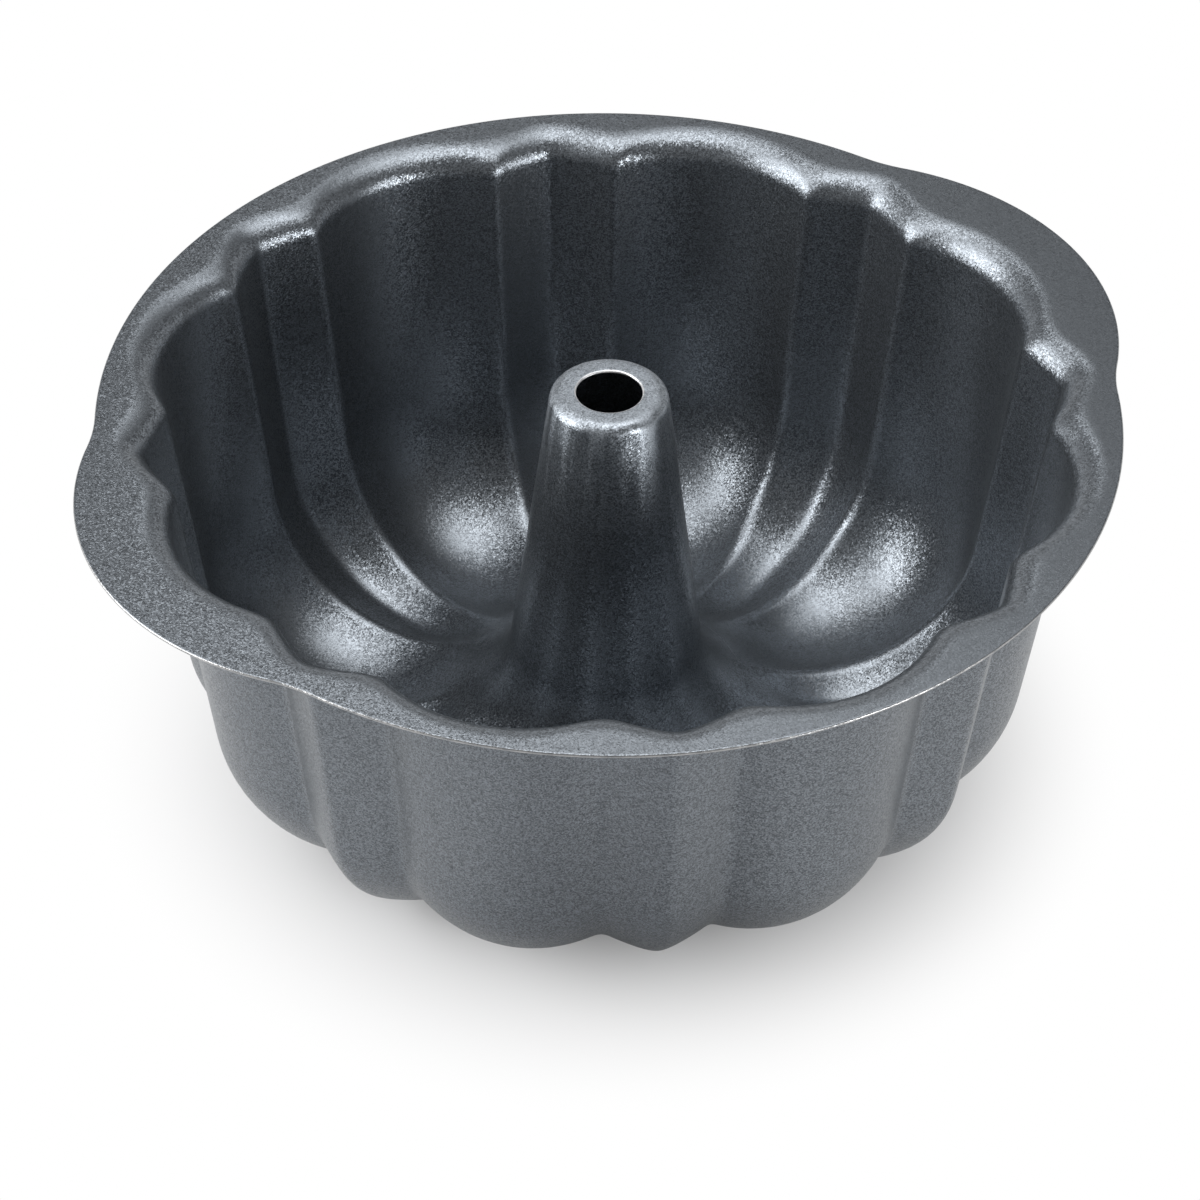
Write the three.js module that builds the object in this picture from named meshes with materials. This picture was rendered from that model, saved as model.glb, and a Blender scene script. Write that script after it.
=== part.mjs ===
// Fluted cake pan: a pressed sheet-steel bowl with eight broad lobes and eight narrow flutes,
// and a tapered tube in its middle that is folded to the bowl's floor by a lock seam.
// Millimetres and degrees, +Z up, origin on the table under the tube, grip tabs along X.

import * as THREE from 'three';
import { mergeVertices } from 'three/addons/utils/BufferGeometryUtils.js';

// Sheet and bowl
const SHEET = 0.7;
const RIM_HEIGHT = 84.1;
const RIDGE_RADIUS = 84.5;
const WALL_DRAFT = 7.2;
const SHOULDER_RADIUS = 6;
const CORNER_RADIUS = 28.2;

// Flutes: each repeat is one broad lobe and one narrow flute, with a ridge on either side between them.
// Tips and ridges are crisp on the wall, rounder towards the floor and roundest at the rim. Roundings
// are shares of the flute's depth.
const REPEATS = 8;
const RIM_FLUTE_DEPTH = 5.8;
const WALL_FLUTE_DEPTH = 5.1;
const FLOOR_FLUTE_DEPTH = 3.6;
const STANDING_FLAT_DEPTH = 0.2;
const NARROW_HALF_ANGLE = 8.5;
const NARROW_DEPTH_SHARE = 0.885;
const RIM_TIP_ROUNDING = 0.3;
const RIM_RIDGE_ROUNDING = 1.1;
const WALL_TIP_ROUNDING = 0.1;
const WALL_RIDGE_ROUNDING = 0.24;
const FLOOR_TIP_ROUNDING = 0.32;
const FLOOR_RIDGE_ROUNDING = 0.5;

// Rim and its two grip tabs
const FLANGE_WIDTH = 2.15;
const TAB_REACH = 8.6;
const TAB_RADIUS = 56.5;
const TAB_FILLET = 35;

// Centre tube
const TUBE_RISE = 3.2;
const HOLE_RADIUS = 6.4;
const LIP_LAND = 2.8;
const LIP_RADIUS = 2.4;
const FLARE_RADIUS = 21;

// Lock seam between the bowl's floor and the tube's foot
const SEAM_RADIUS = 28.5;
const SEAM_SLOPE = 33;
const SEAM_DEPTH = 5;
const SEAM_GAP = 0.3;
const SEAM_BEND = 0.2;

// Facets: columns round each piece, steps along each arc of its section, and the share of a standing
// flat's depth that the rows at its ends use up
const BOWL_COLUMNS = 128;
const TUBE_COLUMNS = 40;
const SHOULDER_STEPS = 5;
const CORNER_STEPS = 6;
const CROWN_STEPS = 4;
const BEND_STEPS = 2;
const HOOK_STEPS = 4;
const FLARE_STEPS = 6;
const LIP_STEPS = 4;
const FLAT_SHARE = 0.6;

const UP = Math.PI / 2;
const DOWN = -Math.PI / 2;
const draft = THREE.MathUtils.degToRad(WALL_DRAFT);
const seamSlope = THREE.MathUtils.degToRad(SEAM_SLOPE);

// The flute at a point of the section, part of the way from one zone of the bowl to the next: the step
// that its full depth makes in a direction, and the rounding of its tip and ridges.
function fluteBetween(zone, nextZone, share, direction) {
  const [depth, tip, ridge] = zone.map((value, index) => THREE.MathUtils.lerp(value, nextZone[index], share));
  return { stepR: depth * Math.cos(direction), stepZ: depth * Math.sin(direction), tip, ridge };
}

// A place without flutes
const PLAIN = { stepR: 0, stepZ: 0, tip: 1, ridge: 1 };

// A point on the sheet's inner face: its place, the direction of the sheet's back face and its flute.
function facePoint(r, z, backR, backZ, flute = PLAIN) {
  return { r, z, backR, backZ, flute };
}

// Points along an arc of the inner face. A hollow arc has the sheet outside it, a round one inside it.
// flute(angle) gives the flute at an angle of the arc.
function arcPoints(centre, radius, from, to, steps, hollow, flute = () => PLAIN) {
  const back = hollow ? 1 : -1;
  return Array.from({ length: steps + 1 }, (_, step) => {
    const angle = from + ((to - from) * step) / steps;
    const alongR = Math.cos(angle);
    const alongZ = Math.sin(angle);
    return facePoint(
      centre.x + radius * alongR,
      centre.y + radius * alongZ,
      back * alongR,
      back * alongZ,
      flute(angle),
    );
  });
}

// The closed section of a sheet: its inner face, then its back face one thickness away.
function sheetSection(face) {
  const back = face.map((point) => ({
    ...point,
    r: point.r + SHEET * point.backR,
    z: point.z + SHEET * point.backZ,
    onBack: true,
  }));
  return [...face, ...back.reverse(), face[0]];
}

// A section revolved about Z. shape(point, angle) gives the radius and height of a point at an angle.
function revolve(section, columns, shape) {
  const outline = section.map((point) => new THREE.Vector2(point.r, point.z));
  const geometry = new THREE.LatheGeometry(outline, columns);
  const position = geometry.getAttribute('position');
  for (let vertex = 0; vertex < position.count; vertex += 1) {
    const column = Math.floor(vertex / section.length) % columns;
    const angle = (column / columns) * 2 * Math.PI;
    const [r, z] = shape(section[vertex % section.length], angle);
    position.setXYZ(vertex, r * Math.cos(angle), r * Math.sin(angle), z);
  }
  geometry.deleteAttribute('normal');
  geometry.deleteAttribute('uv');
  const closed = mergeVertices(geometry);
  closed.computeVertexNormals();
  return closed;
}

// Places that the bowl and the tube share
const floorHeight = SHEET + FLOOR_FLUTE_DEPTH - STANDING_FLAT_DEPTH;
const wallTopHeight = RIM_HEIGHT - SHOULDER_RADIUS * (1 - Math.sin(draft));
const wallFootHeight = floorHeight + CORNER_RADIUS * (1 - Math.sin(draft));
const wallFootRadius = RIDGE_RADIUS - (wallTopHeight - wallFootHeight) * Math.tan(draft);
const troughRadius = wallFootRadius - CORNER_RADIUS * Math.cos(draft);
const crownRadius = (troughRadius - SEAM_RADIUS) / Math.sin(seamSlope);
const crownCentre = new THREE.Vector2(troughRadius, floorHeight + crownRadius);
const seamHeight = crownCentre.y - crownRadius * Math.cos(seamSlope);
const seamFootHeight = seamHeight - SEAM_DEPTH;
const bendRadius = SEAM_BEND + SHEET;
const bowlCollarRadius = SEAM_RADIUS + SEAM_GAP / 2;
const tubeCollarRadius = SEAM_RADIUS - SEAM_GAP / 2;
const hookRadius = bowlCollarRadius + SHEET + SEAM_GAP;
const hookOuterRadius = hookRadius + SHEET;

// Centre of the seam's bend that runs out of a hollow arc, with the bend's centre at a given radius.
function bendCentre(arcCentre, arcRadius, r) {
  const reach = arcRadius + bendRadius;
  const drop = Math.sqrt(reach * reach - (arcCentre.x - r) ** 2);
  return new THREE.Vector2(r, arcCentre.y - drop);
}

// Bowl

// Larger of two values, with the corner between them rounded over a width of blend.
function smoothMax(a, b, blend) {
  const overlap = Math.max(blend - Math.abs(a - b), 0) / blend;
  return Math.max(a, b) + (overlap * overlap * blend) / 4;
}

// Share of the full flute depth at an angle: a shallow arc over each lobe, a rounded V over each
// narrow flute, and a rounded ridge where they meet.
function fluteShare(angle, tip, ridge) {
  const halfRepeat = 180 / REPEATS;
  const turn = THREE.MathUtils.radToDeg(angle) + halfRepeat;
  const fromLobe = Math.abs(THREE.MathUtils.euclideanModulo(turn, 2 * halfRepeat) - halfRepeat);
  const lobe = 1 - (fromLobe / (halfRepeat - NARROW_HALF_ANGLE)) ** 2;
  const across = Math.hypot((halfRepeat - fromLobe) / NARROW_HALF_ANGLE, tip) - tip;
  const narrow = NARROW_DEPTH_SHARE * (1 - across / (Math.hypot(1, tip) - tip));
  return smoothMax(lobe, narrow, ridge);
}

const shoulderCentre = new THREE.Vector2(
  RIDGE_RADIUS + SHOULDER_RADIUS * Math.cos(draft),
  RIM_HEIGHT - SHOULDER_RADIUS,
);
const rimRadius = shoulderCentre.x + RIM_FLUTE_DEPTH + FLANGE_WIDTH;

// Radius of the rim's edge at an angle: a circle, with an arc over each grip tab and a hollow fillet
// on either side of it.
function rimEdgeRadius(angle) {
  const tabCentre = rimRadius + TAB_REACH - TAB_RADIUS;
  const filletReach = rimRadius + TAB_FILLET;
  const filletX = (filletReach ** 2 - (TAB_RADIUS + TAB_FILLET) ** 2 + tabCentre ** 2) / (2 * tabCentre);
  const filletY = Math.sqrt(filletReach ** 2 - filletX ** 2);
  const tabShare = TAB_RADIUS / (TAB_RADIUS + TAB_FILLET);
  const tabEnd = Math.atan2(filletY * tabShare, tabCentre + (filletX - tabCentre) * tabShare);
  const filletEnd = Math.atan2(filletY, filletX);
  const alongTab = Math.abs(Math.cos(angle));
  const acrossTab = Math.abs(Math.sin(angle));
  const fromTab = Math.atan2(acrossTab, alongTab);
  if (fromTab < tabEnd) {
    return tabCentre * alongTab + Math.sqrt(TAB_RADIUS ** 2 - (tabCentre * acrossTab) ** 2);
  }
  if (fromTab < filletEnd) {
    const along = filletX * alongTab + filletY * acrossTab;
    const across = filletX * acrossTab - filletY * alongTab;
    return along - Math.sqrt(TAB_FILLET ** 2 - across ** 2);
  }
  return rimRadius;
}

function bowlGeometry() {
  const rimZone = [RIM_FLUTE_DEPTH, RIM_TIP_ROUNDING, RIM_RIDGE_ROUNDING];
  const wallZone = [WALL_FLUTE_DEPTH, WALL_TIP_ROUNDING, WALL_RIDGE_ROUNDING];
  const floorZone = [FLOOR_FLUTE_DEPTH, FLOOR_TIP_ROUNDING, FLOOR_RIDGE_ROUNDING];
  const seamZone = [0, FLOOR_TIP_ROUNDING, FLOOR_RIDGE_ROUNDING];
  const shoulderEnd = Math.PI - draft;
  const shoulderFlute = (angle) => {
    const share = THREE.MathUtils.smoothstep(angle, UP, shoulderEnd);
    return fluteBetween(rimZone, wallZone, share, 0);
  };
  const cornerFlute = (angle) => {
    const share = (-draft - angle) / (UP - draft);
    return fluteBetween(wallZone, floorZone, share, -share * UP);
  };
  const fluteEnd = Math.asin((troughRadius - hookOuterRadius - SEAM_GAP) / crownRadius);
  const floorFlute = (angle) => {
    const faded = Math.min((DOWN - angle) / fluteEnd, 1);
    return fluteBetween(floorZone, seamZone, faded * faded, angle);
  };

  const cornerCentre = new THREE.Vector2(troughRadius, floorHeight + CORNER_RADIUS);
  const cornerFlat = Math.acos(1 - (FLAT_SHARE * STANDING_FLAT_DEPTH) / CORNER_RADIUS);
  const crownFlat = Math.acos(1 - (FLAT_SHARE * STANDING_FLAT_DEPTH) / crownRadius);
  const bend = bendCentre(crownCentre, crownRadius, bowlCollarRadius + bendRadius);
  const bendSlope = Math.atan2(crownCentre.x - bend.x, crownCentre.y - bend.y);

  const flatEnd = DOWN - crownFlat;
  const floorEnd = DOWN - bendSlope;

  const face = [
    { ...facePoint(rimRadius, RIM_HEIGHT, 0, -1), onRimEdge: true },
    ...arcPoints(shoulderCentre, SHOULDER_RADIUS, UP, shoulderEnd, SHOULDER_STEPS, false, shoulderFlute),
    ...arcPoints(cornerCentre, CORNER_RADIUS, -draft, DOWN + cornerFlat, CORNER_STEPS, true, cornerFlute),
    ...arcPoints(crownCentre, crownRadius, flatEnd, floorEnd, CROWN_STEPS, true, floorFlute),
    ...arcPoints(bend, bendRadius, UP - bendSlope, Math.PI, BEND_STEPS, false).slice(1),
    facePoint(bowlCollarRadius, seamFootHeight, 1, 0),
  ];

  return revolve(sheetSection(face), BOWL_COLUMNS, (point, angle) => {
    if (point.onRimEdge) {
      return [rimEdgeRadius(angle), point.z];
    }
    const { stepR, stepZ, tip, ridge } = point.flute;
    const share = fluteShare(angle, tip, ridge);
    const z = point.z + share * stepZ;
    return [point.r + share * stepR, point.onBack ? Math.max(z, 0) : z];
  });
}

// Centre tube

function tubeGeometry() {
  const flareCentre = new THREE.Vector2(
    SEAM_RADIUS + FLARE_RADIUS * Math.sin(seamSlope),
    seamHeight + FLARE_RADIUS * Math.cos(seamSlope),
  );
  const bend = bendCentre(flareCentre, FLARE_RADIUS, tubeCollarRadius - bendRadius);
  const bendSlope = Math.atan2(flareCentre.x - bend.x, flareCentre.y - bend.y);

  const tubeTop = RIM_HEIGHT + TUBE_RISE;
  const lipCentre = new THREE.Vector2(HOLE_RADIUS + LIP_LAND, tubeTop - LIP_RADIUS);
  const span = flareCentre.clone().sub(lipCentre);
  const taper = Math.atan2(span.y, span.x) + Math.acos((FLARE_RADIUS + LIP_RADIUS) / span.length());

  const hookTurnRadius = (hookRadius - tubeCollarRadius) / 2;
  const hookTurn = new THREE.Vector2(tubeCollarRadius + hookTurnRadius, seamFootHeight);
  const floorBack = crownRadius + SHEET;
  const floorUnderside = crownCentre.y - Math.sqrt(floorBack ** 2 - (troughRadius - hookOuterRadius) ** 2);

  const face = [
    facePoint(hookRadius, floorUnderside - SEAM_GAP, 1, 0),
    ...arcPoints(hookTurn, hookTurnRadius, 0, -Math.PI, HOOK_STEPS, true),
    ...arcPoints(bend, bendRadius, 0, UP - bendSlope, BEND_STEPS, false),
    ...arcPoints(flareCentre, FLARE_RADIUS, DOWN - bendSlope, taper - Math.PI, FLARE_STEPS, true).slice(1),
    ...arcPoints(lipCentre, LIP_RADIUS, taper, UP, LIP_STEPS, false),
    facePoint(HOLE_RADIUS, tubeTop, 0, -1),
  ];
  return revolve(sheetSection(face), TUBE_COLUMNS, (point) => [point.r, point.z]);
}

// Both pieces carry the same dark metallic non-stick coating.
function coatedSteel() {
  return new THREE.MeshStandardMaterial({ color: 0x4b5056, roughness: 0.42, metalness: 0.55 });
}

const flutedBowl = new THREE.Mesh(bowlGeometry(), coatedSteel());
flutedBowl.name = 'fluted_bowl';

const centreTube = new THREE.Mesh(tubeGeometry(), coatedSteel());
centreTube.name = 'centre_tube';

const cakePan = new THREE.Group();
cakePan.add(flutedBowl, centreTube);

export default cakePan;
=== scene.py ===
import math

import bpy
import numpy as np
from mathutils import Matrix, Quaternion, Vector


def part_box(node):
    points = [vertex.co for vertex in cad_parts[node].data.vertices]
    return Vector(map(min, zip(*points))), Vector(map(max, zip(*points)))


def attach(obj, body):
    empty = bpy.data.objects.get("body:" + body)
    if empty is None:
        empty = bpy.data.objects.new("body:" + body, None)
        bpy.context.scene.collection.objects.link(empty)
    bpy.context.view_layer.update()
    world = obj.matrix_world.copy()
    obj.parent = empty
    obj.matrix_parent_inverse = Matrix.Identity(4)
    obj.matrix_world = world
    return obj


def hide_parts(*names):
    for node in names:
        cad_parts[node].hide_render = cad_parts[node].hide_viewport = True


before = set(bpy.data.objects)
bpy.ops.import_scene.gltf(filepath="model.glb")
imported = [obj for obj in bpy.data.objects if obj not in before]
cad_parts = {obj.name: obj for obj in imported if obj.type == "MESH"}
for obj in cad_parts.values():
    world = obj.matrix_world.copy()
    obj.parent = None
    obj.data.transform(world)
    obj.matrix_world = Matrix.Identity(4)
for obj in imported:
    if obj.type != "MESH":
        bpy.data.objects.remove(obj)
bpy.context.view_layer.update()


# Pressed bowl. One blank of thin steel sheet, drawn into eight broad lobes with eight narrow flutes
# between them, and a flat rim that widens into two grip tabs. The rim is trimmed after pressing, so its
# edge is a line of bare steel, and the rest is sprayed with a dark metallic non-stick coating.

MM = 0.001
SHEET = 0.7
RIM_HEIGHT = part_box("fluted_bowl")[1].z / MM
RIM_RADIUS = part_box("fluted_bowl")[1].y / MM
TAB_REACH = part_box("fluted_bowl")[1].x / MM - RIM_RADIUS
TAB_RADIUS = 56.5
TAB_FILLET = 35.0
RIDGE_RADIUS = 84.5
WALL_DRAFT = math.radians(7.2)
SHOULDER_RADIUS = 6.0
CORNER_RADIUS = 28.2
REPEATS = 8
NARROW_HALF_ANGLE = math.radians(8.5)
NARROW_DEPTH_SHARE = 0.885
# Depth of the flutes and rounding of their tips and ridges: at the rim, on the wall, on the floor and at
# the seam where they have run out
RIM_FLUTE = np.array((5.8, 0.3, 1.1))[:, None]
WALL_FLUTE = np.array((5.1, 0.1, 0.24))[:, None]
FLOOR_FLUTE = np.array((3.6, 0.32, 0.5))[:, None]
SEAM_FLUTE = np.array((0.0, 0.32, 0.5))[:, None]
# Standing flats under the lobes
FLAT_DEPTH = 0.2
FLAT_BLEND = 0.1
# Lock seam at the tube's foot, where the floor's edge turns down into a straight collar
SEAM_RADIUS = 28.5
SEAM_SLOPE = math.radians(33.0)
SEAM_DEPTH = 5.0
SEAM_GAP = 0.02
COLLAR_BEND = 1.0
FOLD_MARGIN = 0.5

UP = math.pi / 2
floor_height = SHEET + FLOOR_FLUTE[0, 0] - FLAT_DEPTH
wall_top = RIM_HEIGHT - SHOULDER_RADIUS * (1 - math.sin(WALL_DRAFT))
wall_foot = floor_height + CORNER_RADIUS * (1 - math.sin(WALL_DRAFT))
trough_radius = (RIDGE_RADIUS - (wall_top - wall_foot) * math.tan(WALL_DRAFT)
                 - CORNER_RADIUS * math.cos(WALL_DRAFT))
crown_radius = (trough_radius - SEAM_RADIUS) / math.sin(SEAM_SLOPE)
shoulder_centre = (RIDGE_RADIUS + SHOULDER_RADIUS * math.cos(WALL_DRAFT), RIM_HEIGHT - SHOULDER_RADIUS)
corner_centre = (trough_radius, floor_height + CORNER_RADIUS)
crown_centre = (trough_radius, floor_height + crown_radius)
seam_height = crown_centre[1] - crown_radius * math.cos(SEAM_SLOPE)
seam_foot = seam_height - SEAM_DEPTH
fold_level = seam_foot + FOLD_MARGIN
collar_radius = SEAM_RADIUS + SEAM_GAP / 2


def smooth_max(a, b, blend):
    """The larger of a and b, plus a quarter of the blend times the squared share by which they overlap."""
    overlap = np.maximum(blend - np.abs(a - b), 0) / blend
    return np.maximum(a, b) + overlap * overlap * blend / 4


def mixed(low, high, share):
    """Low plus the share of the step from low to high."""
    return low + (high - low) * share


def eased(share):
    """Three times the square less twice the cube of a share held between 0 and 1."""
    held = np.clip(share, 0, 1)
    return held * held * (3 - 2 * held)


# Columns crowd along the ridges and the tips of the narrow flutes, over a spread that is a share of the
# narrow flute's half angle
HALF_COLUMNS = 30
DENSITY_STEPS = 2000
RIDGE_CROWDING = 1.2
RIDGE_SPREAD = 0.3
TIP_CROWDING = 2.5
TIP_SPREAD = 0.2


def column_angles():
    """Angles round the bowl, in repeats mirrored about each lobe. Within half a repeat their density is 1,
    plus a bell at the ridge and a higher bell at the narrow flute's tip."""
    half = math.pi / REPEATS
    fine = np.linspace(0, half, DENSITY_STEPS)
    from_tip = (half - fine) / NARROW_HALF_ANGLE
    ridge = RIDGE_CROWDING * np.exp(-((from_tip - 1) / RIDGE_SPREAD) ** 2)
    tip = TIP_CROWDING * np.exp(-(from_tip / TIP_SPREAD) ** 2)
    total = np.cumsum(1 + ridge + tip)
    side = np.interp(np.linspace(total[0], total[-1], HALF_COLUMNS + 1), total, fine)
    repeat = np.concatenate((side[:-1], 2 * half - side[:0:-1]))
    return np.add.outer(np.arange(REPEATS) * 2 * half, repeat).ravel()


def flute_share(angle, tip, ridge):
    """Share of the full flute depth: over a lobe, 1 less the squared share of the way to the ridge; over
    a narrow flute, its depth share times 1 less a hyperbola's rise; the larger of the two, with the ridge
    between them rounded."""
    half = math.pi / REPEATS
    from_lobe = np.abs((angle + half) % (2 * half) - half)
    lobe = 1 - (from_lobe / (half - NARROW_HALF_ANGLE)) ** 2
    across = np.hypot((half - from_lobe) / NARROW_HALF_ANGLE, tip) - tip
    narrow = NARROW_DEPTH_SHARE * (1 - across / (np.hypot(1, tip) - tip))
    return smooth_max(lobe, narrow, ridge)


def rim_edge(angle):
    """Radius of the rim's edge: a circle, an arc of the tab's radius about a centre on X, and between
    them the near side of a hollow arc that touches both."""
    tab_centre = RIM_RADIUS + TAB_REACH - TAB_RADIUS
    reach = RIM_RADIUS + TAB_FILLET
    fillet_x = (reach ** 2 - (TAB_RADIUS + TAB_FILLET) ** 2 + tab_centre ** 2) / (2 * tab_centre)
    fillet_y = math.sqrt(reach ** 2 - fillet_x ** 2)
    touch = TAB_RADIUS / (TAB_RADIUS + TAB_FILLET)
    tab_end = math.atan2(fillet_y * touch, tab_centre + (fillet_x - tab_centre) * touch)
    fillet_end = math.atan2(fillet_y, fillet_x)
    along, across = np.abs(np.cos(angle)), np.abs(np.sin(angle))
    from_tab = np.arctan2(across, along)
    tab = tab_centre * along + np.sqrt(np.maximum(TAB_RADIUS ** 2 - (tab_centre * across) ** 2, 0))
    beside = (fillet_x * across - fillet_y * along) ** 2
    hollow = fillet_x * along + fillet_y * across - np.sqrt(np.maximum(TAB_FILLET ** 2 - beside, 0))
    return np.select([from_tab < tab_end, from_tab < fillet_end], [tab, hollow], RIM_RADIUS)


def arc(centre, radius, start, stop, count):
    """Evenly spaced points on a circle: the centre plus the radius times each angle's cosine and sine."""
    angle = np.linspace(start, stop, count)
    return centre[0] + radius * np.cos(angle), centre[1] + radius * np.sin(angle), angle


def pressed_face(angle, offset, end_radius, counts):
    """Radius and height of one face of the pressing, from shoulder to floor, at an offset below its inner
    face. The plain section is a round shoulder, a straight wall, a hollow corner and a hollow crown. Each
    point of it is pushed by the flute share times a depth: outwards on the wall, turning to downwards over
    the corner, and square to the crown. Depth and roundings go from zone to zone: eased over the shoulder,
    evenly over the corner, and by a squared parabola over the crown."""
    shoulder_rows, wall_rows, corner_rows, crown_rows = counts
    wall_turn = UP - WALL_DRAFT
    r1, z1, roll = arc(shoulder_centre, SHOULDER_RADIUS - offset, UP, UP + wall_turn, shoulder_rows)
    r3, z3, turn = arc(corner_centre, CORNER_RADIUS + offset, -WALL_DRAFT, -UP, corner_rows)
    crown_end = math.asin((trough_radius - end_radius) / (crown_radius + offset))
    r4, z4, lean = arc(crown_centre, crown_radius + offset, -UP, -UP - crown_end, crown_rows)
    down = np.linspace(0, 1, wall_rows + 2)[1:-1]
    r2, z2 = mixed(r1[-1], r3[0], down), mixed(z1[-1], z3[0], down)

    over_shoulder = eased((roll - UP) / wall_turn)
    over_corner = (-WALL_DRAFT - turn) / wall_turn
    over_crown = 1 - (1 - np.minimum((-UP - lean) / SEAM_SLOPE, 1) ** 2) ** 2
    depth, tip, ridge = np.concatenate((
        mixed(RIM_FLUTE, WALL_FLUTE, over_shoulder),
        mixed(WALL_FLUTE, WALL_FLUTE, down),
        mixed(WALL_FLUTE, FLOOR_FLUTE, over_corner),
        mixed(FLOOR_FLUTE, SEAM_FLUTE, over_crown)), axis=1)[:, :, None]
    push = np.concatenate((0 * roll, 0 * down, -over_corner * UP, lean))[:, None]
    pushed = depth * flute_share(angle, tip, ridge)
    radius = np.concatenate((r1, r2, r3, r4))[:, None] + pushed * np.cos(push)
    height = np.concatenate((z1, z2, z3, z4))[:, None] + pushed * np.sin(push)
    doubled = shoulder_rows + wall_rows + corner_rows
    return np.delete(radius, doubled, 0), np.delete(height, doubled, 0)


def plain_rows(radius, height, columns):
    """Rows of a plain ring: the same radius and height all the way round."""
    return np.tile(np.array(radius)[:, None], columns), np.tile(np.array(height)[:, None], columns)


def turned_round(rows):
    """The same rows of radius and height in the opposite order."""
    return rows[0][::-1], rows[1][::-1]


def group_rows(groups, name, margin=0):
    """Numbers of the rows in one named group, less a margin of rows at both ends."""
    counts = [len(radius) for radius, _ in groups.values()]
    place = list(groups).index(name)
    first = sum(counts[:place])
    return np.arange(first + margin, first + counts[place] - margin)


def closed_shell(name, groups, angle, sharp_rows, bare_rows):
    """A shell whose point in row i and column j is radius ij along the column's angle, at height ij. Rows
    and columns both close on themselves. Edges along the sharp rows are creased, and the attribute
    trimmed_edge is 1 along the rows of a cut edge."""
    radius = np.concatenate([r for r, _ in groups.values()])
    height = np.concatenate([z for _, z in groups.values()])
    points = np.stack((radius * np.cos(angle), radius * np.sin(angle), height), -1) * MM
    index = np.arange(radius.size).reshape(radius.shape)
    below = np.roll(index, -1, 0)
    quads = np.stack((index, np.roll(index, -1, 1), np.roll(below, -1, 1), below), -1).reshape(-1, 4)
    mesh = bpy.data.meshes.new(name)
    mesh.from_pydata(points.reshape(-1, 3), [], quads)
    mesh.shade_smooth()

    ends = np.empty(2 * len(mesh.edges), np.int32)
    mesh.edges.foreach_get("vertices", ends)
    end_rows = ends.reshape(-1, 2) // len(angle)
    folded = (end_rows[:, 0] == end_rows[:, 1]) & np.isin(end_rows[:, 0], sharp_rows)
    mesh.attributes.new("sharp_edge", "BOOLEAN", "EDGE").data.foreach_set("value", folded)
    bare = np.repeat(np.isin(np.arange(len(radius)), bare_rows).astype(np.float32), len(angle))
    mesh.attributes.new("trimmed_edge", "FLOAT", "POINT").data.foreach_set("value", bare)
    piece = bpy.data.objects.new(name, mesh)
    bpy.context.scene.collection.objects.link(piece)
    return piece


# Rows over the shoulder, the wall, the corner and the crown, and on the rim, where they crowd to the edge
INNER_ROWS = (14, 20, 32, 26)
OUTER_ROWS = (8, 14, 22, 14)
RIM_ROWS = 8
RIM_CROWDING = 1.6
EDGE_ROWS = 7

bowl_angle = column_angles()
columns = len(bowl_angle)
edge = rim_edge(bowl_angle)
inner = pressed_face(bowl_angle, 0, collar_radius, INNER_ROWS)
outer = pressed_face(bowl_angle, SHEET, collar_radius + SHEET, OUTER_ROWS)
outer = (outer[0], smooth_max(outer[1], 0, FLAT_BLEND))
inward = (np.arange(RIM_ROWS) / RIM_ROWS)[:, None] ** RIM_CROWDING
level = np.full((RIM_ROWS, columns), RIM_HEIGHT)
rim_top = (mixed(edge - SHEET / 2, inner[0][0], inward), level)
rim_under = (mixed(edge - SHEET / 2, outer[0][0], inward), level - SHEET)
round_edge = np.linspace(-UP, UP, EDGE_ROWS + 2)[1:-1, None]
rim_cut = (edge + SHEET / 2 * (np.cos(round_edge) - 1),
           RIM_HEIGHT + SHEET / 2 * (np.sin(round_edge) - 1) + 0 * edge)
collar_top = seam_height - COLLAR_BEND
collar_middle = (collar_radius + SHEET / 2, seam_foot)
collar_cut = arc(collar_middle, SHEET / 2, -math.pi, 0, EDGE_ROWS)

bowl_groups = {
    "rim top": rim_top,
    "inside": inner,
    "collar inside": plain_rows([collar_radius] * 2, [collar_top, fold_level], columns),
    "collar edge": plain_rows(collar_cut[0], collar_cut[1], columns),
    "collar outside": plain_rows([collar_radius + SHEET], [collar_top - SHEET], columns),
    "outside": turned_round(outer),
    "rim underside": turned_round(rim_under),
    "rim edge": rim_cut,
}
bowl = closed_shell("pressed_bowl", bowl_groups, bowl_angle,
                    sharp_rows=group_rows(bowl_groups, "inside")[-1:],
                    bare_rows=np.concatenate((group_rows(bowl_groups, "collar edge"),
                                              group_rows(bowl_groups, "rim edge", margin=1))))

COATING = (0.160, 0.175, 0.192, 1)
BARE_STEEL = (0.42, 0.42, 0.42, 1)
METAL_SHARE = 0.88
COATING_ROUGHNESS = 0.27
MOTTLING = 0.08
FLAKES_PER_METRE = 4000.0
FLAKE_CONTRAST = 0.95
FLAKE_TILT = 0.2
CELL_MEAN = (0.5, 0.5, 0.5)
# What a finish puts out, with the kind of each socket and the shader's socket that takes it
FINISH = {"Color": "Color", "Roughness": "Float", "Normal": "Vector"}
SHADER_SOCKETS = {"Color": "Base Color", "Roughness": "Roughness", "Normal": "Normal"}
# Numbers of the colour sockets on a Mix node
MIX_FIRST = 6
MIX_SECOND = 7
MIX_RESULT = 2


def link(nodes, source, target):
    """Joins one socket to another, each given as (node, socket name or number)."""
    nodes.links.new(source[0].outputs[source[1]], target[0].inputs[target[1]])


def add_node(nodes, kind, **values):
    """A new node of a kind, with its properties set, and its input sockets where a name matches none."""
    node = nodes.nodes.new(kind)
    for name, value in values.items():
        if hasattr(node, name):
            setattr(node, name, value)
        else:
            node.inputs[name.replace("_", " ")].default_value = value
    return node


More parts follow.
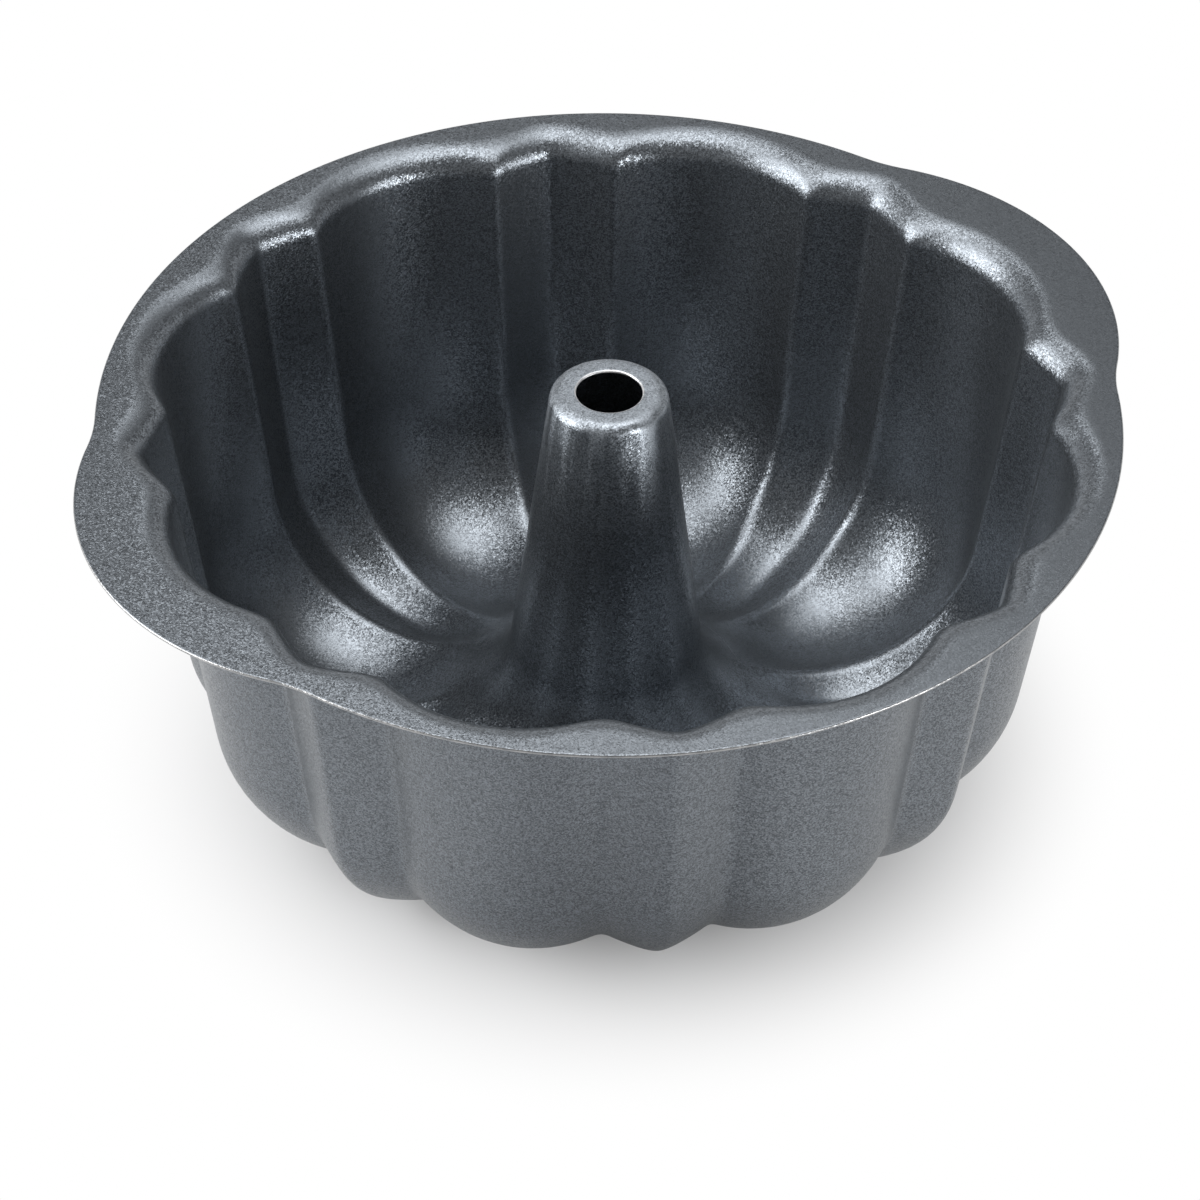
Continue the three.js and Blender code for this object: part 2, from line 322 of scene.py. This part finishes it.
def new_finish(name, inputs):
    """An empty node group with its own inputs, and a colour, a roughness and a normal as its outputs. Gives
    the group, its entry and its exit."""
    group = bpy.data.node_groups.new(name, "ShaderNodeTree")
    for way, sockets in (("INPUT", inputs), ("OUTPUT", FINISH)):
        for socket, kind in sockets.items():
            group.interface.new_socket(socket, in_out=way, socket_type="NodeSocket" + kind)
    return group, add_node(group, "NodeGroupInput"), add_node(group, "NodeGroupOutput")


def metallic_coating_group():
    """Sprayed coating with metal flakes. Each flake is a cell with a brightness and a tilt of its own: it
    scales the colour by 1 plus its contrast times its brightness less a half, and leans the normal by its
    tilt times a random vector. A softer noise mottles the roughness. At a trimmed edge the colour turns
    to bare steel, more where a wear noise is high."""
    group, entry, leave = new_finish("metallic_coating", {
        "Coating": "Color", "Steel": "Color", "Roughness": "Float", "Flake Scale": "Float",
        "Flake Contrast": "Float", "Flake Tilt": "Float", "Trimmed Edge": "Float"})
    place = add_node(group, "ShaderNodeTexCoord")
    surface = add_node(group, "ShaderNodeNewGeometry")

    flakes = add_node(group, "ShaderNodeTexVoronoi", feature="F1")
    link(group, (place, "Object"), (flakes, "Vector"))
    link(group, (entry, "Flake Scale"), (flakes, "Scale"))
    centred = add_node(group, "ShaderNodeVectorMath", operation="SUBTRACT")
    centred.inputs[1].default_value = CELL_MEAN
    link(group, (flakes, "Color"), (centred, 0))
    lean = add_node(group, "ShaderNodeVectorMath", operation="SCALE")
    link(group, (centred, "Vector"), (lean, 0))
    link(group, (entry, "Flake Tilt"), (lean, "Scale"))
    leaned = add_node(group, "ShaderNodeVectorMath", operation="ADD")
    link(group, (surface, "Normal"), (leaned, 0))
    link(group, (lean, "Vector"), (leaned, 1))
    normal = add_node(group, "ShaderNodeVectorMath", operation="NORMALIZE")
    link(group, (leaned, "Vector"), (normal, 0))
    link(group, (normal, "Vector"), (leave, "Normal"))

    bright = add_node(group, "ShaderNodeSeparateXYZ")
    link(group, (centred, "Vector"), (bright, "Vector"))
    swing = add_node(group, "ShaderNodeMath", operation="MULTIPLY_ADD")
    swing.inputs[2].default_value = 1.0
    link(group, (bright, "X"), (swing, 0))
    link(group, (entry, "Flake Contrast"), (swing, 1))
    speckled = add_node(group, "ShaderNodeVectorMath", operation="SCALE")
    link(group, (entry, "Coating"), (speckled, "Vector"))
    link(group, (swing, "Value"), (speckled, "Scale"))

    wear = add_node(group, "ShaderNodeTexNoise", Scale=260.0, Detail=4.0, Roughness=0.6)
    link(group, (place, "Object"), (wear, "Vector"))
    worn = add_node(group, "ShaderNodeMapRange", From_Min=0.25, From_Max=0.55, To_Min=0.35, To_Max=1.0)
    link(group, (wear, "Fac"), (worn, "Value"))
    bare = add_node(group, "ShaderNodeMath", operation="MULTIPLY")
    link(group, (worn, "Result"), (bare, 0))
    link(group, (entry, "Trimmed Edge"), (bare, 1))
    colour = add_node(group, "ShaderNodeMix", data_type="RGBA")
    link(group, (bare, "Value"), (colour, "Factor"))
    link(group, (speckled, "Vector"), (colour, MIX_FIRST))
    link(group, (entry, "Steel"), (colour, MIX_SECOND))
    link(group, (colour, MIX_RESULT), (leave, "Color"))

    mottled = add_node(group, "ShaderNodeTexNoise", Scale=900.0, Detail=3.0, Roughness=0.7)
    link(group, (place, "Object"), (mottled, "Vector"))
    rough = add_node(group, "ShaderNodeMath", operation="MULTIPLY_ADD")
    rough.inputs[1].default_value = MOTTLING
    link(group, (mottled, "Fac"), (rough, 0))
    link(group, (entry, "Roughness"), (rough, 2))
    link(group, (rough, "Value"), (leave, "Roughness"))
    return group


coating_group = metallic_coating_group()


def coated_steel(name):
    """Metal shader that takes its colour, roughness and normal from the coating group, with the piece's own
    trimmed_edge attribute as the group's mask."""
    material = bpy.data.materials.new(name)
    material.use_nodes = True
    nodes = material.node_tree
    shader = nodes.nodes["Principled BSDF"]
    shader.inputs["Metallic"].default_value = METAL_SHARE
    coat = add_node(nodes, "ShaderNodeGroup", name="coating", node_tree=coating_group, Coating=COATING,
                    Steel=BARE_STEEL, Roughness=COATING_ROUGHNESS, Flake_Scale=FLAKES_PER_METRE,
                    Flake_Contrast=FLAKE_CONTRAST, Flake_Tilt=FLAKE_TILT)
    trimmed = add_node(nodes, "ShaderNodeAttribute", attribute_name="trimmed_edge")
    link(nodes, (trimmed, "Fac"), (coat, "Trimmed Edge"))
    for value, socket in SHADER_SOCKETS.items():
        link(nodes, (coat, value), (shader, socket))
    return material


bowl.data.materials.append(coated_steel("bowl_coating"))
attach(bowl, "root")
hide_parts("fluted_bowl")


# Centre tube. A tapered tube drawn from the same sheet, with a flared foot, a rounded lip and a hole
# pierced in its flat top. Its skirt goes down inside the bowl's turned-down collar and hooks up round it,
# which locks the two together under the floor, and the same coating covers the fold.

TUBE_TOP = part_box("centre_tube")[1].z / MM
HOLE_RADIUS = 6.4
LIP_LAND = 2.8
LIP_RADIUS = 2.4
FLARE_RADIUS = 21.0
# Depth below the seam at which the skirt is straight outside and inside, depth of the hook's edge below the
# seam, and of the hook's straight part below its edge
SKIRT_BEND = 0.5
SKIRT_INNER_BEND = 1.5
HOOK_DROP = 2.6
HOOK_MARGIN = 0.6

skirt_radius = SEAM_RADIUS - SEAM_GAP / 2
hook_radius = collar_radius + SHEET + SEAM_GAP
fold_centre = ((skirt_radius + hook_radius) / 2, seam_foot)
fold_radius = (hook_radius - skirt_radius) / 2
hook_top = seam_height - HOOK_DROP
flare_centre = (SEAM_RADIUS + FLARE_RADIUS * math.sin(SEAM_SLOPE),
                seam_height + FLARE_RADIUS * math.cos(SEAM_SLOPE))
lip_centre = (HOLE_RADIUS + LIP_LAND, TUBE_TOP - LIP_RADIUS)
# The taper is the line that touches the flare's circle and the lip's on opposite sides
span = (flare_centre[0] - lip_centre[0], flare_centre[1] - lip_centre[1])
taper = math.atan2(span[1], span[0]) + math.acos((FLARE_RADIUS + LIP_RADIUS) / math.hypot(*span))


def tube_face(offset, foot_radius, counts):
    """Radius and height of one face of the tube, from foot to top, at an offset inside its outer face:
    a hollow flare, a straight taper that touches it and the lip, and the round lip."""
    flare_rows, taper_rows, lip_rows = counts
    foot = math.acos((foot_radius - flare_centre[0]) / (FLARE_RADIUS + offset))
    r1, z1, _ = arc(flare_centre, FLARE_RADIUS + offset, -foot, taper - math.pi, flare_rows)
    r3, z3, _ = arc(lip_centre, LIP_RADIUS - offset, taper, UP, lip_rows)
    up = np.linspace(0, 1, taper_rows + 2)[1:-1]
    r2, z2 = mixed(r1[-1], r3[0], up), mixed(z1[-1], z3[0], up)
    return np.concatenate((r1, r2, r3)), np.concatenate((z1, z2, z3))


# Rows over the flare, the taper and the lip, round the cut edges and the fold, and across the flat top
OUTSIDE_ROWS = (40, 30, 20)
INSIDE_ROWS = (28, 16, 12)
ROUND_ROWS = 9
FOLD_ROWS = 13
LAND_SHARES = np.array((0.4, 0.8))
TUBE_COLUMNS = 192

tube_angle = np.arange(TUBE_COLUMNS) * 2 * math.pi / TUBE_COLUMNS
hole_land = HOLE_RADIUS + SHEET / 2
hole_middle = (hole_land, TUBE_TOP - SHEET / 2)
hook_middle = (hook_radius + SHEET / 2, hook_top - SHEET / 2)
hook_end = hook_top - HOOK_MARGIN
tube_section = {
    "hook inside": ([hook_radius] * 2, [hook_end, fold_level]),
    "fold inside": arc(fold_centre, fold_radius, 0, -math.pi, ROUND_ROWS)[:2],
    "skirt outside": ([skirt_radius] * 2, [fold_level, seam_height - SKIRT_BEND]),
    "outside": tube_face(0, skirt_radius, OUTSIDE_ROWS),
    "top": (mixed(lip_centre[0], hole_land, LAND_SHARES), [TUBE_TOP] * 2),
    "hole edge": arc(hole_middle, SHEET / 2, UP, 3 * UP, ROUND_ROWS)[:2],
    "top underside": (mixed(hole_land, lip_centre[0], LAND_SHARES), [TUBE_TOP - SHEET] * 2),
    "inside": turned_round(tube_face(SHEET, skirt_radius - SHEET, INSIDE_ROWS)),
    "skirt inside": ([skirt_radius - SHEET] * 2, [seam_height - SKIRT_INNER_BEND, fold_level]),
    "fold outside": arc(fold_centre, fold_radius + SHEET, -math.pi, 0, FOLD_ROWS)[:2],
    "hook outside": ([hook_radius + SHEET] * 2, [fold_level, hook_end]),
    "hook edge": arc(hook_middle, SHEET / 2, 0, math.pi, ROUND_ROWS)[:2],
}
tube_groups = {name: plain_rows(r, z, TUBE_COLUMNS) for name, (r, z) in tube_section.items()}
tube = closed_shell("drawn_tube", tube_groups, tube_angle,
                    sharp_rows=group_rows(tube_groups, "outside")[:1],
                    bare_rows=np.concatenate((group_rows(tube_groups, "hole edge", margin=1),
                                              group_rows(tube_groups, "hook edge"))))

# Draw marks to a metre across the tube and along it
MARKS_PER_METRE = (260.0, 260.0, 12.0)


def draw_marks_and_painted_light_group():
    """Upright marks from drawing the tube, and painted light towards its lip. From a foot to a head height
    the marks grow with the squared share of the way, times a noise drawn out along the tube: the normal
    leans upwards and the roughness rises. The colour lightens with the squared share alone: painted light,
    brighter towards the lip where light from above falls."""
    group, entry, leave = new_finish("draw_marks_and_painted_light", {
        **FINISH, "Lean": "Float", "Roughening": "Float", "Rubbing": "Float", "Foot": "Float",
        "Head": "Float"})
    place = add_node(group, "ShaderNodeTexCoord")
    stretch = add_node(group, "ShaderNodeVectorMath", operation="MULTIPLY")
    stretch.inputs[1].default_value = MARKS_PER_METRE
    link(group, (place, "Object"), (stretch, 0))
    streaks = add_node(group, "ShaderNodeTexNoise", Scale=1.0, Detail=2.0, Roughness=0.5)
    link(group, (stretch, "Vector"), (streaks, "Vector"))
    marked = add_node(group, "ShaderNodeMapRange", From_Min=0.4, From_Max=0.62, To_Min=0.15, To_Max=1.0)
    link(group, (streaks, "Fac"), (marked, "Value"))
    height = add_node(group, "ShaderNodeSeparateXYZ")
    link(group, (place, "Object"), (height, "Vector"))
    share = add_node(group, "ShaderNodeMapRange")
    link(group, (height, "Z"), (share, "Value"))
    link(group, (entry, "Foot"), (share, "From Min"))
    link(group, (entry, "Head"), (share, "From Max"))
    squared = add_node(group, "ShaderNodeMath", operation="POWER")
    squared.inputs[1].default_value = 2.0
    link(group, (share, "Result"), (squared, 0))
    mark = add_node(group, "ShaderNodeMath", operation="MULTIPLY")
    link(group, (squared, "Value"), (mark, 0))
    link(group, (marked, "Result"), (mark, 1))

    rise = add_node(group, "ShaderNodeMath", operation="MULTIPLY")
    link(group, (mark, "Value"), (rise, 0))
    link(group, (entry, "Lean"), (rise, 1))
    upward = add_node(group, "ShaderNodeCombineXYZ")
    link(group, (rise, "Value"), (upward, "Z"))
    leaned = add_node(group, "ShaderNodeVectorMath", operation="ADD")
    link(group, (entry, "Normal"), (leaned, 0))
    link(group, (upward, "Vector"), (leaned, 1))
    normal = add_node(group, "ShaderNodeVectorMath", operation="NORMALIZE")
    link(group, (leaned, "Vector"), (normal, 0))
    link(group, (normal, "Vector"), (leave, "Normal"))

    rough = add_node(group, "ShaderNodeMath", operation="MULTIPLY_ADD")
    link(group, (mark, "Value"), (rough, 0))
    link(group, (entry, "Roughening"), (rough, 1))
    link(group, (entry, "Roughness"), (rough, 2))
    link(group, (rough, "Value"), (leave, "Roughness"))

    # Painted light: the colour is lightened towards the lip, as light from above would make it
    lighter = add_node(group, "ShaderNodeMath", operation="MULTIPLY_ADD")
    lighter.inputs[2].default_value = 1.0
    link(group, (squared, "Value"), (lighter, 0))
    link(group, (entry, "Rubbing"), (lighter, 1))
    painted_top_light = add_node(group, "ShaderNodeVectorMath", operation="SCALE")
    link(group, (entry, "Color"), (painted_top_light, "Vector"))
    link(group, (lighter, "Value"), (painted_top_light, "Scale"))
    link(group, (painted_top_light, "Vector"), (leave, "Color"))
    return group


drawn = coated_steel("tube_coating")
nodes = drawn.node_tree
shader = nodes.nodes["Principled BSDF"]
coat = nodes.nodes["coating"]
# The tube's draw marks, with painted light that lightens its colour towards the lip
marks = add_node(nodes, "ShaderNodeGroup", node_tree=draw_marks_and_painted_light_group(), Lean=0.34, Roughening=0.16,
                 Rubbing=0.55, Foot=0.05, Head=0.085)
for value, socket in SHADER_SOCKETS.items():
    link(nodes, (coat, value), (marks, value))
    link(nodes, (marks, value), (shader, socket))
tube.data.materials.append(drawn)
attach(tube, "root")
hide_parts("centre_tube")


# Table. A wide disc of matt white card that the pan stands on. It takes the pan's soft shadow and fades
# into the white of the backdrop outside it. For glossy rays it also glows with painted light, brighter to
# either side of the line of sight than along it, and this shows in the pan's coating.

VIEW_HEADING = math.radians(59.3)
TABLE_RADIUS = 4.0
TABLE_SIDES = 64
CARD = (0.62, 0.62, 0.625, 1)
CARD_ROUGHNESS = 0.9
CARD_GLOSS = 0.1
SHADOW_START = 0.042
SHADOW_END = 0.107
SHINE_START = 0.005
SHINE_END = 0.06
SHINE = 0.72

table_angle = np.arange(TABLE_SIDES) * 2 * math.pi / TABLE_SIDES
table_points = TABLE_RADIUS * np.stack((np.cos(table_angle), np.sin(table_angle), 0 * table_angle), -1)
table_mesh = bpy.data.meshes.new("table")
table_mesh.from_pydata(table_points, [], [list(range(TABLE_SIDES))])
table = bpy.data.objects.new("table", table_mesh)
bpy.context.scene.collection.objects.link(table)

card = bpy.data.materials.new("white_card")
card.use_nodes = True
nodes = card.node_tree
matt = nodes.nodes["Principled BSDF"]
matt.inputs["Base Color"].default_value = CARD
matt.inputs["Roughness"].default_value = CARD_ROUGHNESS
matt.inputs["Specular IOR Level"].default_value = CARD_GLOSS
place = add_node(nodes, "ShaderNodeTexCoord")
distance = add_node(nodes, "ShaderNodeVectorMath", operation="LENGTH")
link(nodes, (place, "Object"), (distance, "Vector"))
fade = add_node(nodes, "ShaderNodeMapRange", interpolation_type="SMOOTHSTEP",
                From_Min=SHADOW_START, From_Max=SHADOW_END)
link(nodes, (distance, "Value"), (fade, "Value"))
# Painted glow: glossy rays see the card lifted towards white, more to either side of the line of sight
aside = add_node(nodes, "ShaderNodeVectorMath", operation="DOT_PRODUCT")
aside.inputs[1].default_value = (math.sin(VIEW_HEADING), -math.cos(VIEW_HEADING), 0)
link(nodes, (place, "Object"), (aside, 0))
either = add_node(nodes, "ShaderNodeMath", operation="ABSOLUTE")
link(nodes, (aside, "Value"), (either, 0))
shine = add_node(nodes, "ShaderNodeMapRange", interpolation_type="SMOOTHSTEP",
                 From_Min=SHINE_START, From_Max=SHINE_END, To_Max=SHINE)
link(nodes, (either, "Value"), (shine, "Value"))
rays = add_node(nodes, "ShaderNodeLightPath")
seen = add_node(nodes, "ShaderNodeMath", operation="MULTIPLY_ADD")
link(nodes, (rays, "Is Glossy Ray"), (seen, 0))
link(nodes, (shine, "Result"), (seen, 1))
link(nodes, (rays, "Is Camera Ray"), (seen, 2))
lift = add_node(nodes, "ShaderNodeMath", operation="MULTIPLY")
link(nodes, (seen, "Value"), (lift, 0))
link(nodes, (fade, "Result"), (lift, 1))
white = add_node(nodes, "ShaderNodeEmission", Color=(1, 1, 1, 1), Strength=1.0)
mix = add_node(nodes, "ShaderNodeMixShader")
link(nodes, (lift, "Value"), (mix, "Fac"))
link(nodes, (matt, "BSDF"), (mix, 1))
link(nodes, (white, "Emission"), (mix, 2))
link(nodes, (mix, "Shader"), (nodes.nodes["Material Output"], "Surface"))
table_mesh.materials.append(card)


# Studio light. A large soft box overhead, reaching out to the left and brighter towards its right end, a
# small one high up behind the pan, a soft box lower down on either side, and a white backdrop that gives
# way to a dim room behind the viewer.

LIGHT_AIM = Vector((0, 0, 0.045))
BACKDROP = 0.72
ROOM = 0.2


def soft_box(name, bearing, elevation, distance, width, height, radiance, turned=0):
    """A rectangular lamp at a bearing to the right of the line of sight and an elevation, aimed at the
    pan and turned about its own axis. Its power is pi times its area times its radiance."""
    turn = VIEW_HEADING - math.radians(bearing)
    rise = math.radians(elevation)
    away = Vector((math.cos(rise) * math.cos(turn), math.cos(rise) * math.sin(turn), math.sin(rise)))
    lamp = bpy.data.lights.new(name, "AREA")
    lamp.shape = "RECTANGLE"
    lamp.size = width
    lamp.size_y = height
    lamp.energy = math.pi * width * height * radiance
    holder = bpy.data.objects.new(name, lamp)
    holder.location = LIGHT_AIM + away * distance
    aim = away.to_track_quat("Z", "Y")
    holder.rotation_euler = (aim @ Quaternion((0, 0, 1), math.radians(turned))).to_euler()
    bpy.context.scene.collection.objects.link(holder)


soft_box("soft_box_above", bearing=-62, elevation=74, distance=0.63, width=0.95, height=0.44,
         radiance=2.85, turned=-62)
soft_box("soft_box_core", bearing=45, elevation=77, distance=0.62, width=0.42, height=0.42,
         radiance=1.6, turned=45)
soft_box("soft_box_behind", bearing=0, elevation=50.5, distance=0.72, width=0.2, height=0.2, radiance=2.5)
soft_box("soft_box_left", bearing=-98, elevation=27, distance=1.3, width=0.92, height=0.96, radiance=6.2)
soft_box("soft_box_right", bearing=127, elevation=10, distance=1.3, width=0.46, height=0.44, radiance=14.0)

studio = bpy.data.worlds.new("studio")
bpy.context.scene.world = studio
studio.use_nodes = True
nodes = studio.node_tree
place = add_node(nodes, "ShaderNodeTexCoord")
ahead = add_node(nodes, "ShaderNodeVectorMath", operation="DOT_PRODUCT")
ahead.inputs[1].default_value = (math.cos(VIEW_HEADING), math.sin(VIEW_HEADING), 0)
link(nodes, (place, "Generated"), (ahead, 0))
backdrop = add_node(nodes, "ShaderNodeMapRange", interpolation_type="SMOOTHSTEP",
                    From_Min=-0.3, From_Max=0.4, To_Min=0.0, To_Max=BACKDROP)
link(nodes, (ahead, "Value"), (backdrop, "Value"))
height = add_node(nodes, "ShaderNodeSeparateXYZ")
link(nodes, (place, "Generated"), (height, "Vector"))
dimming = add_node(nodes, "ShaderNodeMapRange", interpolation_type="SMOOTHSTEP",
                   From_Min=0.15, From_Max=0.45, To_Min=1.0, To_Max=0.0)
link(nodes, (height, "Z"), (dimming, "Value"))
shade = add_node(nodes, "ShaderNodeMath", operation="MULTIPLY_ADD")
shade.inputs[2].default_value = ROOM
link(nodes, (backdrop, "Result"), (shade, 0))
link(nodes, (dimming, "Result"), (shade, 1))
rays = add_node(nodes, "ShaderNodeLightPath")
seen = add_node(nodes, "ShaderNodeMath", operation="MAXIMUM")
link(nodes, (rays, "Is Camera Ray"), (seen, 0))
link(nodes, (rays, "Is Transmission Ray"), (seen, 1))
brightness = add_node(nodes, "ShaderNodeMix", data_type="FLOAT", B=1.0)
link(nodes, (seen, "Value"), (brightness, "Factor"))
link(nodes, (shade, "Value"), (brightness, "A"))
link(nodes, (brightness, "Result"), (nodes.nodes["Background"], "Color"))


# Camera. A long lens in front of the pan and above it, aimed at the near half of its mouth, with the slight
# tilt of a tripod set by hand.

CAMERA_PLACE = Vector((-320.4, -537.1, 580.1)) * MM
CAMERA_AIM = Vector((-30.27, -48.45, 84.1)) * MM
CAMERA_ROLL = math.radians(0.706)
FOCAL_LENGTH = 124.66
SENSOR_WIDTH = 36.0

lens = bpy.data.cameras.new("camera")
lens.lens = FOCAL_LENGTH
lens.sensor_width = SENSOR_WIDTH
camera = bpy.data.objects.new("camera", lens)
camera.location = CAMERA_PLACE
aim = (CAMERA_AIM - CAMERA_PLACE).to_track_quat("-Z", "Y")
camera.rotation_euler = (aim @ Quaternion((0, 0, 1), CAMERA_ROLL)).to_euler()
bpy.context.scene.collection.objects.link(camera)
bpy.context.scene.camera = camera
bpy.context.scene.view_settings.view_transform = "Standard"
